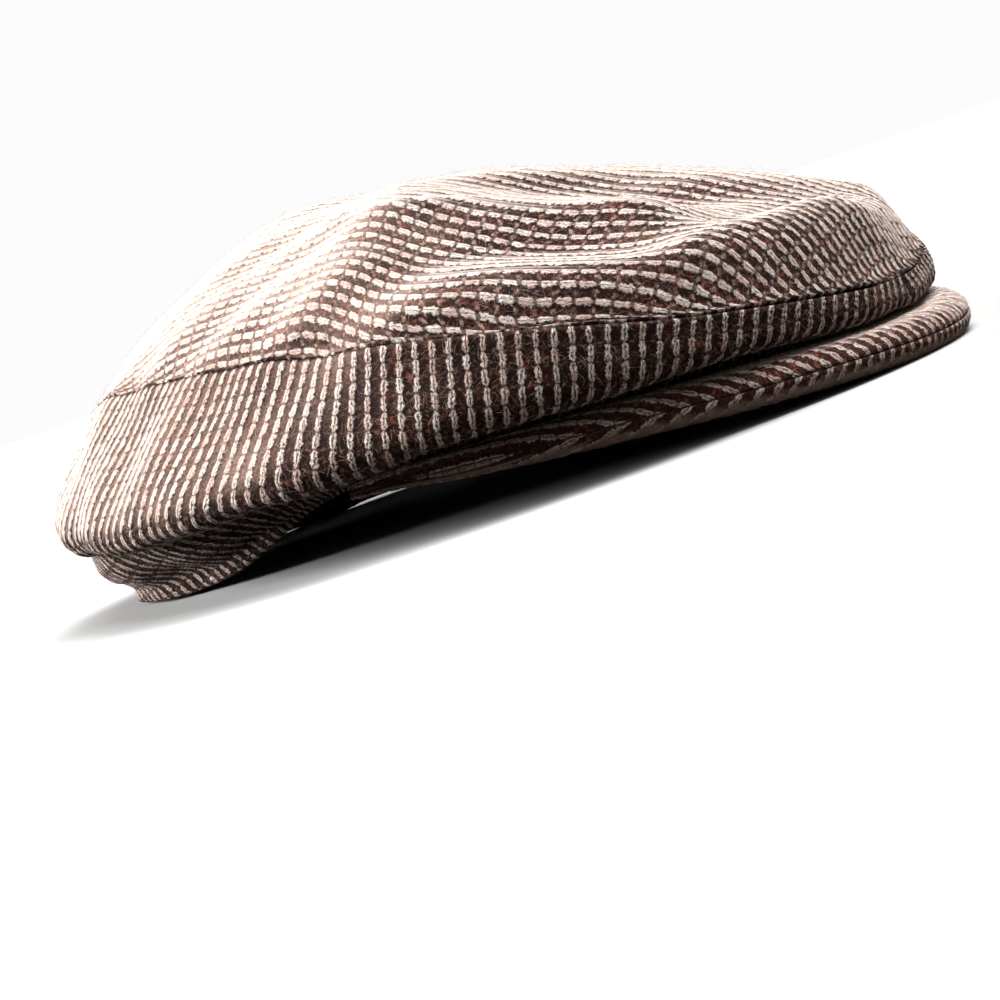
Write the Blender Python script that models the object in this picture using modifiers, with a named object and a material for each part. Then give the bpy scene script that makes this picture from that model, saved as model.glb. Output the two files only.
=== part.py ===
"""Duckbill cap: a tweed flat cap whose crown is drawn forward over a short stiff peak.

Metres, +Z up. The cap rests on the plane z = 0 on the back of its rim and the edge of its peak.
The peak points to -Y and the wearer's right is -X. Plan angles run from 0 at the front
through +90 degrees at the wearer's right to 180 at the back.
"""
import bmesh
import bpy
import numpy as np
from mathutils import Vector

NAME = "duckbill_cap"

# The head opening is an oval of about size 57, set so that the cap's box is centred on the origin.
HEAD_HALF_WIDTH = 0.082
HEAD_HALF_LENGTH = 0.100
HEAD_CENTRE_Y = 0.0070

# How far the crown reaches out past the head opening, and how high its pieces stand.
OVERHANG = 0.040
SIDE_HEIGHT = 0.060
CROWN_HEIGHT = 0.0865
CROWN_CENTRE_Y = 0.005

# The peak: its reach past its root, the plan angle of its ends and how it narrows and droops.
# Its two covers are padded by the board between them and meet on the crest of the rounded edge.
PEAK_REACH = 0.0365
PEAK_END_REACH = 0.003
PEAK_END_DEG = 86.0
PEAK_ROUNDING = 1.5
PEAK_DROOP = 1.3
PEAK_ROOT_RISE = 0.0010
UPPER_COVER = 0.0045
UNDER_COVER = 0.0052

# Cloth walls, the gap kept between two sewn pieces, and how far the back rim is pressed flat.
WALL = 0.002
SEAM_GAP = 0.0006
COVER_GAP = 0.0003
PRESS = 0.001
SEAM_CREASE_SHARE = 0.7
WELD_DISTANCE = 0.00001

# The side of the crown at seven plan angles. Reaches are shares of OVERHANG past the head opening,
# heights are shares of SIDE_HEIGHT: the rim, the tuck above the band, the bulge and the top seam.
SIDE_COLUMNS = ("plan_deg", "rim_reach", "rim_height", "tuck_reach", "tuck_height",
                "bulge_reach", "bulge_height", "seam_reach", "seam_height")
SIDE_TABLE = (
    (0, 0.00, 0.13, 0.15, 0.32, 0.73, 0.22, 0.80, 0.33),
    (30, 0.00, 0.18, 0.15, 0.37, 0.77, 0.30, 0.84, 0.47),
    (60, 0.00, 0.24, 0.15, 0.39, 0.87, 0.38, 0.73, 0.74),
    (90, 0.00, 0.26, 0.16, 0.36, 0.97, 0.40, 0.30, 0.88),
    (120, 0.04, 0.05, 0.30, 0.29, 0.785, 0.40, 0.13, 0.95),
    (150, 0.30, 0.00, 0.48, 0.25, 0.655, 0.51, 0.13, 0.95),
    (180, 0.30, 0.00, 0.46, 0.22, 0.625, 0.56, 0.17, 0.90),
)

# Where the rim, the top of the turned hem, the tuck, the bulge and the seam lie up the side panel.
SIDE_LEVELS = (0.0, 0.08, 0.28, 0.62, 1.0)
HEM_HEIGHT = 0.006

# The rise of the top panel from its seam to its middle, towards the front, the sides and the back.
TOP_COLUMNS = ("reach", "front_rise", "side_rise", "back_rise")
TOP_TABLE = (
    (0.00, 1.00, 1.00, 1.00),
    (0.25, 0.85, 0.92, 1.06),
    (0.50, 0.64, 0.73, 0.93),
    (0.70, 0.48, 0.53, 0.60),
    (0.86, 0.37, 0.30, 0.29),
    (0.95, 0.28, 0.12, 0.09),
    (1.00, 0.00, 0.00, 0.00),
)
# How quickly the front and the back profiles give way to the side one round the crown.
FRONT_FOCUS = 4
BACK_FOCUS = 2

# Folds on the top panel. Their places and half widths are shares of its reach from the middle, with x
# positive to the wearer's left and y to the back. Heights are shares of FOLD_HEIGHT, negative in dents.
FOLD_HEIGHT = 0.0030
FOLD_COLUMNS = ("from_x", "from_y", "to_x", "to_y", "half_width", "height")
FOLD_TABLE = (
    (-0.42, -0.10, -0.26, -0.66, 0.11, 1.00),
    (-0.26, -0.66, -0.02, -0.97, 0.10, 0.85),
    (0.02, -0.35, 0.10, -0.80, 0.12, -1.00),
    (-0.20, -0.78, 0.25, -0.90, 0.08, -1.15),
    (-0.42, -0.86, 0.45, -0.90, 0.07, 0.45),
    (-0.46, -0.22, -0.95, -0.14, 0.11, 0.95),
    (-0.58, -0.36, -0.45, -0.68, 0.12, -0.95),
    (-0.88, -0.44, -0.46, -0.82, 0.08, 0.85),
    (0.24, -0.55, 0.45, -0.75, 0.10, 0.65),
)
FOLD_EDGE_SHARE = 0.94

# The crest of the peak's edge: its height in shares of SIDE_HEIGHT, from the middle to an end.
PEAK_EDGE_COLUMNS = ("sweep", "edge_height")
PEAK_EDGE_TABLE = (
    (0.00, 0.071),
    (0.30, 0.130),
    (0.50, 0.188),
    (0.85, 0.240),
    (1.00, 0.253),
)

# The peak's rows from its root to its edge, with the share of the cover's thickness at each.
PEAK_ROW_COLUMNS = ("out", "thickness")
PEAK_ROW_TABLE = (
    (0.00, 0.32),
    (0.40, 0.70),
    (0.72, 1.00),
    (0.92, 0.95),
    (1.00, 0.40),
)
PEAK_END_SHARE = 0.45
PEAK_END_TAPER = 2.5

# Cells of the coarse cages before they are subdivided.
SIDE_CELLS = (18, 7)
TOP_CELLS = (36, 7)
TOP_ROW_SPREAD = 1.5
PEAK_CELLS_ROUND = 16

MATERIALS = {
    "top_panel": ((0.46, 0.39, 0.34), 0.95),
    "side_panel_right": ((0.36, 0.30, 0.27), 0.95),
    "side_panel_left": ((0.36, 0.30, 0.27), 0.95),
    "peak_top": ((0.30, 0.25, 0.22), 0.95),
    "peak_under": ((0.27, 0.21, 0.18), 0.95),
}


def curve(stations, values, x):
    """A smooth curve through rising stations, level at each end, with mean slopes in between."""
    stations, values = np.asarray(stations, float), np.asarray(values, float)
    slopes = np.zeros(len(values))
    slopes[1:-1] = (values[2:] - values[:-2]) / (stations[2:] - stations[:-2])
    k = int(np.clip(np.searchsorted(stations, x, side="right") - 1, 0, len(stations) - 2))
    span = stations[k + 1] - stations[k]
    s = (x - stations[k]) / span
    return ((2 * s ** 3 - 3 * s ** 2 + 1) * values[k] + (s ** 3 - 2 * s ** 2 + s) * span * slopes[k]
            + (3 * s ** 2 - 2 * s ** 3) * values[k + 1] + (s ** 3 - s ** 2) * span * slopes[k + 1])


def column(table, names, name):
    """One named column of a table."""
    return [row[names.index(name)] for row in table]


def side_value(name, angle):
    """A value of the side table at a plan angle in radians, the same on both sides."""
    stations = column(SIDE_TABLE, SIDE_COLUMNS, "plan_deg")
    return curve(stations, column(SIDE_TABLE, SIDE_COLUMNS, name), abs(np.degrees(angle)))


def head_reach(angle):
    """The head opening's reach from its middle at a plan angle."""
    return 1 / np.hypot(np.sin(angle) / HEAD_HALF_WIDTH, np.cos(angle) / HEAD_HALF_LENGTH)


def plan_point(angle, reach, height):
    """A point at a plan angle and reach from the head opening's middle."""
    return Vector((-np.sin(angle) * reach, HEAD_CENTRE_Y - np.cos(angle) * reach, height))


def rim_height(angle):
    """The height of the rim, drawn below the floor behind the ears, where it is pressed flat."""
    behind = np.clip(0.5 - np.cos(angle), 0, 1)
    return SIDE_HEIGHT * side_value("rim_height", angle) - PRESS * behind


def side_point(angle, level):
    """A point of the side panels, from the rim at level 0 to the top seam at level 1."""
    rim = rim_height(angle)
    above = ("tuck", "bulge", "seam")
    heights = [SIDE_HEIGHT * side_value(ring + "_height", angle) for ring in above]
    reaches = [OVERHANG * side_value(ring + "_reach", angle) for ring in ("rim", "rim") + above]
    hem = min(rim + HEM_HEIGHT, (rim + heights[0]) / 2)
    reach = head_reach(angle) + rings(reaches, level)
    return plan_point(angle, reach, rings([rim, hem] + heights, level))


def rings(values, level):
    """A smooth curve up the panel through the values at its rings, free at its ends."""
    stations = np.array(SIDE_LEVELS)
    values = np.array(values)
    first = 2 * values[0] - values[1]
    last = 2 * values[-1] - values[-2]
    stations = np.concatenate([[2 * stations[0] - stations[1]], stations, [2 * stations[-1] - stations[-2]]])
    return float(curve(stations, np.concatenate([[first], values, [last]]), level))


def fold_height(across, along):
    """The height that the folds add at a place on the top panel, given in shares of its reach."""
    total = 0.0
    place = Vector((across, along))
    for row in FOLD_TABLE:
        fold = dict(zip(FOLD_COLUMNS, row))
        start = Vector((fold["from_x"], fold["from_y"]))
        run = Vector((fold["to_x"], fold["to_y"])) - start
        share = min(max((place - start).dot(run) / run.length_squared, 0.0), 1.0)
        distance = (place - start - run * share).length
        total += fold["height"] * np.exp(-(distance / fold["half_width"]) ** 2)
    return FOLD_HEIGHT * total


def top_point(angle, share):
    """A point of the top panel, from its middle at share 0 to its seam at share 1."""
    seam = side_point(angle, 1.0)
    inward = Vector((-seam.x, -seam.y, 0)).normalized()
    edge = seam + (inward + Vector((0, 0, 1))) * SEAM_GAP
    front = max(np.cos(angle), 0) ** FRONT_FOCUS
    back = max(-np.cos(angle), 0) ** BACK_FOCUS
    stations = column(TOP_TABLE, TOP_COLUMNS, "reach")
    weights = {"front_rise": front, "back_rise": back, "side_rise": 1 - front - back}
    rise = sum(w * curve(stations, column(TOP_TABLE, TOP_COLUMNS, n), share) for n, w in weights.items())
    middle = Vector((0, HEAD_CENTRE_Y + CROWN_CENTRE_Y, 0))
    flat = Vector((edge.x, edge.y, 0)) - middle
    place = middle + flat * share
    height = edge.z + (CROWN_HEIGHT - edge.z) * rise
    fade = np.clip((1 - share) / (1 - FOLD_EDGE_SHARE), 0, 1)
    across, along = -share * np.sin(angle), -share * np.cos(angle)
    return Vector((place.x, place.y, height + fade * fold_height(across, along)))


def peak_reach(sweep):
    """The peak's reach past the head opening by share of the way from the middle to an end."""
    return PEAK_END_REACH + PEAK_REACH * np.cos(sweep * np.pi / 2) ** PEAK_ROUNDING


def peak_point(sweep, out):
    """A point of the surface between the peak's two covers, from its root to its edge."""
    angle = np.radians(PEAK_END_DEG) * sweep
    stations = column(PEAK_EDGE_TABLE, PEAK_EDGE_COLUMNS, "sweep")
    edge = curve(stations, column(PEAK_EDGE_TABLE, PEAK_EDGE_COLUMNS, "edge_height"), abs(sweep))
    edge = edge * SIDE_HEIGHT
    root = rim_height(angle) + PEAK_ROOT_RISE * np.cos(sweep * np.pi / 2)
    height = root + (edge - root) * out ** PEAK_DROOP
    root_reach = head_reach(angle) + WALL / 2 + SEAM_GAP + COVER_GAP
    return plan_point(angle, root_reach + peak_reach(abs(sweep)) * out, height)


def make_material(name):
    colour, roughness = MATERIALS[name]
    material = bpy.data.materials.new(name)
    material.use_nodes = True
    shader = material.node_tree.nodes["Principled BSDF"]
    shader.inputs["Base Color"].default_value = (*colour, 1.0)
    shader.inputs["Roughness"].default_value = roughness
    shader.inputs["Metallic"].default_value = 0.0
    return material


def make_cage(name, cells, place, weld=False, flip=False):
    """A grid of cells whose points are placed by a function of two shares, each 0 to 1."""
    grid = bmesh.new()
    bmesh.ops.create_grid(grid, x_segments=cells[0], y_segments=cells[1], size=1.0)
    for vert in grid.verts:
        vert.co = place((vert.co.x + 1) / 2, (vert.co.y + 1) / 2)
    if weld:
        bmesh.ops.remove_doubles(grid, verts=grid.verts, dist=WELD_DISTANCE)
    if flip:
        bmesh.ops.reverse_faces(grid, faces=grid.faces)
    mesh = bpy.data.meshes.new(name)
    grid.to_mesh(mesh)
    grid.free()
    mesh.materials.append(make_material(name))
    return bpy.data.objects.new(name, mesh)


def thicken(piece, thickness, offset):
    """Gives a cage its wall, then rounds the whole with one level of subdivision."""
    wall = piece.modifiers.new("Wall", "SOLIDIFY")
    wall.thickness = thickness
    wall.offset = offset
    wall.edge_crease_inner = SEAM_CREASE_SHARE
    wall.edge_crease_outer = SEAM_CREASE_SHARE
    soften = piece.modifiers.new("Soften", "SUBSURF")
    soften.levels = 1
    soften.render_levels = 1
    soften.use_limit_surface = False
    return wall


def make_side_panel(name, hand):
    """One side panel, from just past the front seam to just short of the centre back seam."""
    def place(u, v):
        angle = hand * np.pi * u
        point = side_point(angle, v)
        point.x = -hand * max(abs(point.x), SEAM_GAP / 2)
        return point

    panel = make_cage(name, SIDE_CELLS, place, flip=hand > 0)
    thicken(panel, WALL, 0.0)
    return panel


def make_top_panel(name):
    """The top panel, an oval sheet whose rows lie closer towards its steep seam."""
    def place(u, v):
        return top_point(np.pi * (2 * u - 1), 1 - (1 - v) ** TOP_ROW_SPREAD)

    panel = make_cage(name, TOP_CELLS, place, weld=True)
    thicken(panel, WALL, 0.0)
    return panel


def make_peak_cover(name, side, thickness):
    """The upper cover, side +1, or the under cover, side -1, thickest inside the rounded edge."""
    rows = column(PEAK_ROW_TABLE, PEAK_ROW_COLUMNS, "out")
    shares = column(PEAK_ROW_TABLE, PEAK_ROW_COLUMNS, "thickness")
    steps = len(rows) - 1

    def place(u, v):
        point = peak_point(2 * u - 1, rows[round(v * steps)])
        return point + Vector((0, 0, side * COVER_GAP / 2))

    cover = make_cage(name, (PEAK_CELLS_ROUND, steps), place, flip=side < 0)
    group = cover.vertex_groups.new(name="thickness")
    for vert in cover.data.vertices:
        column_index = vert.index % (PEAK_CELLS_ROUND + 1)
        row_index = vert.index // (PEAK_CELLS_ROUND + 1)
        sweep = abs(2 * column_index / PEAK_CELLS_ROUND - 1)
        ends = 1 - (1 - PEAK_END_SHARE) * sweep ** PEAK_END_TAPER
        group.add([vert.index], shares[row_index] * ends, "REPLACE")
    wall = thicken(cover, thickness, 1.0)
    wall.vertex_group = group.name
    return cover


def press_flat(piece, floor):
    """Cuts the piece level with the floor, as the cloth is pressed flat where it rests."""
    cut = piece.modifiers.new("Pressed flat", "BOOLEAN")
    cut.operation = "DIFFERENCE"
    cut.solver = "EXACT"
    cut.object = floor


def make_floor_cutter():
    """A box with its top on the plane z = 0."""
    side = 4 * HEAD_HALF_LENGTH
    depth = side / 20
    bpy.ops.mesh.primitive_cube_add(size=1.0, location=(0, 0, -depth / 2))
    floor = bpy.context.object
    floor.name = "floor_cutter"
    floor.scale = (side, side, depth)
    floor.hide_render = True
    floor.display_type = "WIRE"
    return floor


def move_to(collection, piece):
    for owner in list(piece.users_collection):
        owner.objects.unlink(piece)
    collection.objects.link(piece)


def main():
    for old in list(bpy.data.objects):
        bpy.data.objects.remove(old, do_unlink=True)
    cap = bpy.data.collections.new(NAME)
    cutters = bpy.data.collections.new("cutters")
    for collection in (cap, cutters):
        bpy.context.scene.collection.children.link(collection)
    floor = make_floor_cutter()
    move_to(cutters, floor)
    pieces = [
        make_top_panel("top_panel"),
        make_side_panel("side_panel_right", 1),
        make_side_panel("side_panel_left", -1),
        make_peak_cover("peak_top", 1, UPPER_COVER),
        make_peak_cover("peak_under", -1, UNDER_COVER),
    ]
    for piece in pieces:
        move_to(cap, piece)
        piece.data.shade_smooth()
    for piece in pieces[1:3]:
        press_flat(piece, floor)


main()
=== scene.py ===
"""The duckbill cap in its tweed, resting on a pale floor, seen from the wearer's right.

The cap's peak points to -Y and the wearer's right is -X. Plan angles run from 0 at the front
through 90 degrees at the wearer's right to 180 at the back. All lengths are in metres.
"""

import bpy
import numpy as np
from mathutils import Matrix, Vector


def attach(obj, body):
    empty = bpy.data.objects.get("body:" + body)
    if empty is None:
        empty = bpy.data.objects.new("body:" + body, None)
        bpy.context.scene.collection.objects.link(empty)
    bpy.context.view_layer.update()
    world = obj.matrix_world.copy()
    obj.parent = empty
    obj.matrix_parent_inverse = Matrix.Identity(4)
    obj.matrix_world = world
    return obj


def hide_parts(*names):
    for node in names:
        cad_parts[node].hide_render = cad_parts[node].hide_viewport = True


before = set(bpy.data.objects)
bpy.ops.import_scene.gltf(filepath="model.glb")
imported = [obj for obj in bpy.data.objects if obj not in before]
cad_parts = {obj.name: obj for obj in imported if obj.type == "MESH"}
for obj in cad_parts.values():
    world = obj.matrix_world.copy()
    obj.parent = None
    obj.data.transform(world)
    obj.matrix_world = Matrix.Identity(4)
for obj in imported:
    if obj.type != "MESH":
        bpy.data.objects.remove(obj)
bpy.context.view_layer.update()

# The head opening and the crown, as they are in the solids.
HEAD_HALF_WIDTH = 0.082
HEAD_HALF_LENGTH = 0.100
HEAD_CENTRE_Y = 0.0070
OVERHANG = 0.040
SIDE_HEIGHT = 0.060
CROWN_HEIGHT = 0.0865
CROWN_CENTRE_Y = 0.005
HEM_HEIGHT = 0.006
SIDE_LEVELS = np.array([0.0, 0.08, 0.28, 0.62, 1.0])

# The side of the crown: reaches in shares of OVERHANG, heights in shares of SIDE_HEIGHT.
SIDE_COLUMNS = ("plan_deg", "rim_reach", "rim_height", "tuck_reach", "tuck_height",
                "bulge_reach", "bulge_height", "seam_reach", "seam_height")
SIDE_TABLE = np.array((
    (0, 0.00, 0.13, 0.15, 0.32, 0.73, 0.22, 0.80, 0.33),
    (30, 0.00, 0.18, 0.15, 0.37, 0.77, 0.30, 0.84, 0.47),
    (60, 0.00, 0.24, 0.15, 0.39, 0.87, 0.38, 0.73, 0.74),
    (90, 0.00, 0.26, 0.16, 0.36, 0.97, 0.40, 0.30, 0.88),
    (120, 0.04, 0.05, 0.30, 0.29, 0.785, 0.40, 0.13, 0.95),
    (150, 0.30, 0.00, 0.48, 0.25, 0.655, 0.51, 0.13, 0.95),
    (180, 0.30, 0.00, 0.46, 0.22, 0.625, 0.56, 0.17, 0.90),
))

# The rise of the top panel from its middle, at 0, to its seam, at 1.
TOP_COLUMNS = ("reach", "front_rise", "side_rise", "back_rise")
TOP_TABLE = np.array((
    (0.00, 1.00, 1.00, 1.00),
    (0.25, 0.85, 0.92, 1.06),
    (0.50, 0.64, 0.73, 0.93),
    (0.70, 0.48, 0.53, 0.60),
    (0.86, 0.37, 0.30, 0.29),
    (0.95, 0.28, 0.12, 0.09),
    (1.00, 0.00, 0.00, 0.00),
))
FRONT_FOCUS = 4
BACK_FOCUS = 2

# Folds on the top panel: places and half widths are shares of its reach from the middle, and
# heights are shares of FOLD_HEIGHT. They fade over the last FOLD_FADE of the reach, at the seam.
FOLD_HEIGHT = 0.0030
FOLD_FADE = 0.06
FOLD_COLUMNS = ("from_x", "from_y", "to_x", "to_y", "half_width", "height")
FOLD_TABLE = (
    (-0.42, -0.10, -0.26, -0.66, 0.11, 1.00),
    (-0.26, -0.66, -0.02, -0.97, 0.10, 0.85),
    (0.02, -0.35, 0.10, -0.80, 0.12, -1.00),
    (-0.20, -0.78, 0.25, -0.90, 0.08, -1.15),
    (-0.42, -0.86, 0.45, -0.90, 0.07, 0.45),
    (-0.46, -0.22, -0.95, -0.14, 0.11, 0.95),
    (-0.58, -0.36, -0.45, -0.68, 0.12, -0.95),
    (-0.88, -0.44, -0.46, -0.82, 0.08, 0.85),
    (0.24, -0.55, 0.45, -0.75, 0.10, 0.65),
)

# The peak, its two covers and its rounded edge.
PEAK_REACH = 0.0365
PEAK_END_REACH = 0.003
PEAK_END_DEG = 86.0
PEAK_ROUNDING = 1.5
PEAK_DROOP = 1.3
PEAK_ROOT_RISE = 0.0010
PEAK_EDGE_TABLE = np.array(((0.0, 0.071), (0.3, 0.130), (0.5, 0.188), (0.85, 0.240), (1.0, 0.253)))
PEAK_END_SHARE = 0.45
PEAK_END_TAPER = 2.5
COVER_THICKNESS = {1: 0.0045, -1: 0.0052}
COVER_ROOT_SHARE = 0.32
COVER_FULL_AT = 0.7
COVER_ROUNDING = 0.0060
COVER_GAP = 0.0003

# The cloth's wall and its seams: how far the outside turns in there, how far it is let out along
# the cloth so that two pieces meet, and how much thinner the wall is.
WALL = 0.002
SEAM_GAP = 0.0006
SEAM_DIP = 0.0004
SEAM_DIP_WIDTH = 0.0030
SEAM_LET_OUT = {"top": 0.0007, "side": 0.0005}
SEAM_THINNING = 0.0006

# The crease under the bulge at the back and the swollen band below it. Levels are shares of the
# way up the side panel, and the plan angles are where it starts, is full, begins to fade and ends.
TUCK_PLAN_DEG = (70, 100, 158, 178)
TUCK_LEVEL = 0.33
TUCK_SWAY = 0.05
TUCK_DEPTH = 0.0022
TUCK_HALF_WIDTH = 0.05
SWELL_HEIGHT = 0.0020
SWELL_BELOW = 0.16
SWELL_HALF_WIDTH = 0.09

# Slight unevenness of handled cloth: each wave's height, its run per metre in x, y and z, its phase.
WAVE_TABLE = (
    (0.00025, 95, -80, 40, 2.1708),
    (0.00025, 95, 80, 40, -0.1708),
    (0.00040, 60, 150, -120, 0.0),
    (0.00030, 210, 170, 0, 2.0),
)

# The weave: the repeat of its ribs and of the dashes along them, and its relief. The pair of threads
# in a rib, the dark rib between two pairs and the pinch between two dashes are shares of a repeat.
RIB_PITCH = 0.0042
DASH_PITCH = 0.0047
RIB_RELIEF = 0.00045
THREAD_OFFSET = 0.10
THREAD_HALF_WIDTH = 0.10
DARK_HALF_WIDTH = 0.20
DARK_SHARE = 0.25
PINCH_HALF_LENGTH = 0.14
PINCH_SHARE = 0.55
PINCH_RISE = 0.10
RELIEF_FADE = {"panel": 0.0005, "peak": 0.0012}

# How the ribs lie. On top they are gathered by a factor for each place along the cap. The side's are
# counted along one level, lean by a share that changes over a run, and lean more below the tuck.
TOP_GATHER_TABLE = np.array(((-0.150, 1.15), (-0.125, 1.05), (-0.100, 0.90), (-0.075, 0.80),
                             (-0.050, 0.80), (-0.020, 0.92), (0.030, 1.05), (0.140, 1.05)))
SIDE_RIB_LEVEL = 0.85
SIDE_LEAN = (-0.46, -0.20)
SIDE_LEAN_RUN = (0.05, 0.17)
TUCK_LEAN = 1.1
TUCK_LEAN_PLAN_DEG = (70, 105)
TUCK_LEAN_FROM = 0.60
PEAK_RIB_SHARE = 0.88

# The grids: how large each panel is about, across and along, and the steps between its points.
# The inside has one point for each INNER_STEP outside. The peak's rows crowd towards its edge, and
# within MIDDLE_SHARE of its reach the top's distance to its seam need not be exact.
SIDE_RUN = (0.375, 0.088)
SIDE_STEPS = (0.00072, 0.0010)
TOP_RUN = (0.245, 0.290)
TOP_STEPS = (0.00072, 0.0014)
PEAK_RUN = (0.300, 0.044)
PEAK_STEPS = (0.0008, 0.0008)
PEAK_CROWDING = 1.8
MIDDLE_SHARE = 0.2
INNER_STEP = 4

# Painted light: the colour is painted paler where the cloth faces the first way below, towards the
# key light. A sheen painted pale at grazing angles ends before a seam and on cloth that faces down,
# and the under cover is worn where it faces down.
PAINTED_LIGHT_WAY = (-0.35, 0.45, 0.82)
PAINTED_LIGHT_RANGE = (0.60, 1.0)
PAINTED_SHEEN_FROM_SEAM = (0.0008, 0.0035)
PAINTED_SHEEN_FACING = (-0.25, 0.35)
PEAK_PAINTED_SHEEN = 0.6
WORN_FACING = (0.35, 0.80)

# Its loose fibres: how many a set has, their length and radius, and how far they stand up and curl.
FIBRE_COUNT = 19000
FIBRE_LENGTH = (0.0008, 0.0036)
FIBRE_RADIUS = 0.000020
FIBRE_STAND = (0.05, 0.55)
FIBRE_CURL = 0.5
NAP_SHARES = {"top_cloth": 0.40, "side_cloth_right": 0.23, "side_cloth_left": 0.23,
              "peak_cloth_top": 0.07, "peak_cloth_under": 0.07}

# The wool's colours.
CREAM = (0.78, 0.70, 0.63, 1)
BLUSH = (0.66, 0.49, 0.43, 1)
FLEECE = (0.40, 0.26, 0.205, 1)
# The pale colour of the sheen that is painted in at grazing angles.
PAINTED_SHEEN_COLOUR = (0.62, 0.53, 0.47, 1)
BROWN_FLEECE = (0.22, 0.12, 0.09, 1)

# The weave's looks on each part of the cap, in shares of a repeat: how far a pair's threads lie from
# its middle, their half width and half the gap between two dashes. Then how much the crossing
# threads show on the dark ribs, and the two dark wools. The top's wide dashes are partly the weave
# and partly painted light from above, and the peak's copy is painted brighter where the crown shades it.
TWEEDS = {
    "top tweed": {"spread": 0.096, "width": 0.098, "gap": 0.15, "crossing": 0.75,
                  "umber": (0.012, 0.005, 0.004, 1), "russet": (0.14, 0.036, 0.026, 1)},
    "side tweed": {"spread": 0.102, "width": 0.064, "gap": 0.09, "crossing": 0.2,
                   "umber": (0.009, 0.004, 0.003, 1), "russet": (0.10, 0.026, 0.018, 1)},
    # Painted light: paler dark wools and wider threads stand in for light on the shaded peak.
    "peak tweed": {"spread": 0.105, "width": 0.085, "gap": 0.07, "crossing": 0.1,
                   "umber": (0.032, 0.011, 0.008, 1), "russet": (0.20, 0.050, 0.036, 1)},
}

# The noises that the cloth's looks are made of: scale, detail and roughness. Those of the threads
# count in repeats of the weave, and the others in metres.
NOISES = {
    "thread edges": (5.0, 4.0, 0.7),
    "thread sway": (1.7, 2.0, 0.5),
    "thread strands": (6.0, 4.0, 0.7),
    "waves": (260.0, 2.0, 0.5),
    "fuzz": (1250.0, 3.0, 0.7),
    "speckles": (1500.0, 2.0, 0.8),
    "russet flecks": (700.0, 3.0, 0.6),
    "russet patches": (90.0, 2.0, 0.6),
    "hair patches": (220.0, 4.0, 0.7),
    "painted light patches": (35.0, 2.0, 0.6),
    "fibre shades": (700.0, 1.0, 0.5),
}

# How far two of them move the weave and the loose hairs, and how far ribs and dashes stray.
WAVE_SHIFT = (0.22, 0.22, 0.0)
FUZZ_SHIFT = (0.42, 0.42, 0.0)
HAIR_SHIFT = (0.005, 0.005, 0.005)
HAIR_SCALE = 560.0
STRAND_STRETCH = (3.0, 0.8, 1)
RIB_SWAY = 0.22
DASH_STAGGER = 0.12

# The bump under the relief: its height, and what each mask adds to it.
BUMP_HEIGHT = 0.0007
BUMP_SHARES = {"light": 0.7, "strands": 0.6, "fluff": 0.4, "twin": -0.4, "joint": -0.2}

# The lights: azimuth, elevation and softness in degrees, and strength.
SUN_TABLE = {
    "key": (-158, 22, 30, 10.5),
    "far side": (65, 62, 40, 6.5),
    "overhead": (0, 84, 50, 4.0),
    "near side": (-45, 35, 60, 0.5),
}

# The floor and the surround look paler to the camera than they are to the light they give back.
FLOOR_HALF_SIDE = 6.0
FLOOR_SEEN = (0.31, 0.308, 0.305, 1)
FLOOR_DIM = (0.07, 0.069, 0.068, 1)
SURROUND_COLOUR = (1, 1, 1, 1)
SURROUND_SEEN = 0.97
SURROUND_DIM = 0.07

# The camera, set to the photograph's angle to the cap, and its frame of 1000 by 1000.
CAMERA_AZIMUTH = -60.0
CAMERA_ELEVATION = 0.8
CAMERA_ROLL = 19.5
CAMERA_DISTANCE = 0.8
CAMERA_AIM = (0.0, 0.008, 0.05)
FRAME_SIDE = 1000.0
PIXELS_PER_METRE = 3559.0
AIM_PIXEL = (440.0, 312.0)
SENSOR = 36.0


def curve(stations, values, x, free_ends=False):
    """A cubic through the values at rising stations, with mean slopes inside and level or free ends."""
    stations, values, x = np.asarray(stations, float), np.asarray(values, float), np.asarray(x, float)
    gaps = (stations[2:] - stations[:-2]).reshape((-1,) + (1,) * (values.ndim - 1))
    slopes = np.zeros_like(values)
    slopes[1:-1] = (values[2:] - values[:-2]) / gaps
    if free_ends:
        slopes[0] = (values[1] - values[0]) / (stations[1] - stations[0])
        slopes[-1] = (values[-1] - values[-2]) / (stations[-1] - stations[-2])
    k = np.clip(np.searchsorted(stations, x, side="right") - 1, 0, len(stations) - 2)
    shape = x.shape + (1,) * (values.ndim - 1)
    span = (stations[k + 1] - stations[k]).reshape(shape)
    s = (x - stations[k]).reshape(shape) / span
    return ((2 * s ** 3 - 3 * s ** 2 + 1) * values[k] + (s ** 3 - 2 * s ** 2 + s) * span * slopes[k]
            + (3 * s ** 2 - 2 * s ** 3) * values[k + 1] + (s ** 3 - s ** 2) * span * slopes[k + 1])


def smooth(low, high, x):
    """0 below low, 1 above high, and a smooth step in between."""
    s = np.clip((x - low) / (high - low), 0, 1)
    return s * s * (3 - 2 * s)


def side_value(name, angle):
    """A value of the side table at plan angles in radians, the same on both sides."""
    return curve(SIDE_TABLE[:, 0], SIDE_TABLE[:, SIDE_COLUMNS.index(name)], np.abs(np.degrees(angle)))


def head_reach(angle):
    """The head opening's reach: an oval in polar form."""
    return 1 / np.hypot(np.sin(angle) / HEAD_HALF_WIDTH, np.cos(angle) / HEAD_HALF_LENGTH)


def plan_points(angle, reach, height):
    """Points at plan angles and reaches from the head opening's middle, at their heights."""
    return np.stack([-np.sin(angle) * reach, HEAD_CENTRE_Y - np.cos(angle) * reach,
                     height + 0 * reach], axis=-1)


def rim_height(angle):
    """The height of the rim, which lies on the floor at the back."""
    return SIDE_HEIGHT * side_value("rim_height", angle)


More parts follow.
